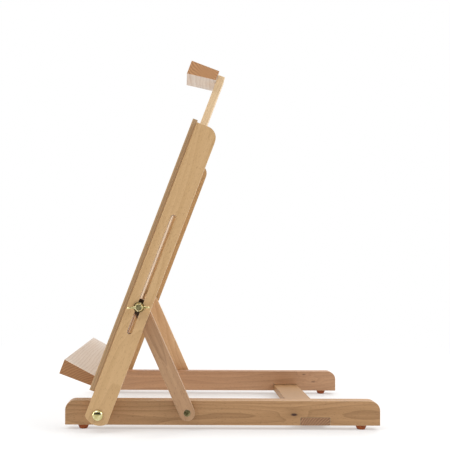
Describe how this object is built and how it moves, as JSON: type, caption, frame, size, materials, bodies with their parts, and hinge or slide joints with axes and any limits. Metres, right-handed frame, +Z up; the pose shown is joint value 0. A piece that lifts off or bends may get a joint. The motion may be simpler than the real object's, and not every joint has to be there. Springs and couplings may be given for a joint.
{
  "type": "wooden table easel",
  "caption": "Beech table easel: a tilting panel on slotted uprights with a tray, a sliding clamp mast, struts held by wing nuts, and a two-rail base.",
  "frame": {"origin": "middle of the footprint, on the surface that the feet stand on", "axes": "+X to the right as the painter sees it, +Y to the rear, +Z up; the tray is at -Y"},
  "size_m": [0.3786, 0.4166, 0.5131],
  "materials": {
    "pale_beech": "satin",
    "warm_beech": "satin",
    "pink_beech": "satin",
    "pale_grained_beech": "satin",
    "inner_beech": "satin",
    "plywood": "satin",
    "yellow_zinc": "satin",
    "grey_steel": "satin",
    "foot_rubber": "matte",
    "black_nylon": "satin"
  },
  "bodies": {
    "base": {"base_rail_left": "warm_beech", "base_rail_right": "warm_beech", "cross_bar_screw_left": "yellow_zinc", "cross_bar_screw_right": "yellow_zinc", "foot_front_left": "foot_rubber", "foot_front_right": "foot_rubber", "foot_rear_left": "foot_rubber", "foot_rear_right": "foot_rubber", "foot_screw_front_left": "grey_steel", "foot_screw_front_right": "grey_steel", "foot_screw_rear_left": "grey_steel", "foot_screw_rear_right": "grey_steel", "pivot_bolt_left": "yellow_zinc", "pivot_bolt_right": "yellow_zinc", "pivot_nut_left": "yellow_zinc", "pivot_nut_right": "yellow_zinc", "pivot_spacer_left": "inner_beech", "pivot_spacer_right": "inner_beech", "pivot_washer_left": "yellow_zinc", "pivot_washer_right": "yellow_zinc", "rear_cross_bar": "warm_beech", "strut_screw_left": "yellow_zinc", "strut_screw_right": "yellow_zinc", "strut_washer_left": "yellow_zinc", "strut_washer_right": "yellow_zinc"},
    "tilting_frame": {"bridge_bar": "inner_beech", "drawing_panel": "plywood", "keeper_screw_left": "yellow_zinc", "keeper_screw_right": "yellow_zinc", "mast_guide_left": "inner_beech", "mast_guide_right": "inner_beech", "mast_keeper": "inner_beech", "panel_screw_lower_left": "yellow_zinc", "panel_screw_lower_right": "yellow_zinc", "panel_screw_upper_left": "yellow_zinc", "panel_screw_upper_right": "yellow_zinc", "threaded_insert": "yellow_zinc", "tray": "pale_grained_beech", "tray_screw_left": "yellow_zinc", "tray_screw_middle": "yellow_zinc", "tray_screw_right": "yellow_zinc", "upright_left": "pale_beech", "upright_right": "pale_beech"},
    "mast": {"block_screw_left": "yellow_zinc", "block_screw_right": "yellow_zinc", "clamp_block": "pale_grained_beech", "mast": "pale_beech", "stop_pin": "inner_beech"},
    "mast_knob": {"knob_grip": "black_nylon", "knob_stud": "yellow_zinc"},
    "strut_left": {"strut_left": "pink_beech", "strut_bolt_head_left": "yellow_zinc"},
    "clamp_bolt_left": {"clamp_bolt_left": "yellow_zinc", "clamp_washer_left": "yellow_zinc"},
    "wing_nut_left": {"wing_nut_left": "yellow_zinc"},
    "strut_right": {"strut_right": "pink_beech", "strut_bolt_head_right": "yellow_zinc"},
    "clamp_bolt_right": {"clamp_bolt_right": "yellow_zinc", "clamp_washer_right": "yellow_zinc"},
    "wing_nut_right": {"wing_nut_right": "yellow_zinc"}
  },
  "joints": [
    {"name": "frame_tilt", "type": "hinge", "parent": "base", "child": "tilting_frame", "pos_m": [0, -0.15605, 0.0235], "axis": [-1, 0, 0], "range_deg": [-8, 66.8]},
    {"name": "strut_fold_left", "type": "hinge", "parent": "base", "child": "strut_left", "pos_m": [-0.153, -0.04305, 0.0235], "axis": [-1, 0, 0], "range_deg": [-13.3, 109.9]},
    {"name": "clamp_slide_left", "type": "slide", "parent": "tilting_frame", "child": "clamp_bolt_left", "axis": [0, 0.3535, 0.9354], "range_m": [-0.0142, 0.1167]},
    {"name": "wing_nut_turn_left", "type": "hinge", "parent": "clamp_bolt_left", "child": "wing_nut_left", "pos_m": [-0.18, -0.10431, 0.16042], "axis": [1, 0, 0], "continuous": true},
    {"name": "strut_fold_right", "type": "hinge", "parent": "base", "child": "strut_right", "pos_m": [0.153, -0.04305, 0.0235], "axis": [-1, 0, 0], "range_deg": [-13.3, 109.9]},
    {"name": "clamp_slide_right", "type": "slide", "parent": "tilting_frame", "child": "clamp_bolt_right", "axis": [0, 0.3535, 0.9354], "range_m": [-0.0142, 0.1167]},
    {"name": "wing_nut_turn_right", "type": "hinge", "parent": "clamp_bolt_right", "child": "wing_nut_right", "pos_m": [0.18, -0.10431, 0.16042], "axis": [1, 0, 0], "continuous": true},
    {"name": "mast_slide", "type": "slide", "parent": "tilting_frame", "child": "mast", "axis": [0, 0.3535, 0.9354], "range_m": [-0.09, 0.15]},
    {"name": "mast_knob_turn", "type": "hinge", "parent": "tilting_frame", "child": "mast_knob", "pos_m": [0, -0.01647, 0.37591], "axis": [0, 0.9354, -0.3535], "continuous": true}
  ],
  "couplings": [
    {"joint": "strut_fold_left", "follows": "frame_tilt", "ratio": 1.6425},
    {"joint": "clamp_slide_left", "follows": "frame_tilt", "m_per_rad": 0.09988},
    {"joint": "strut_fold_right", "follows": "frame_tilt", "ratio": 1.6425},
    {"joint": "clamp_slide_right", "follows": "frame_tilt", "m_per_rad": 0.09988}
  ]
}
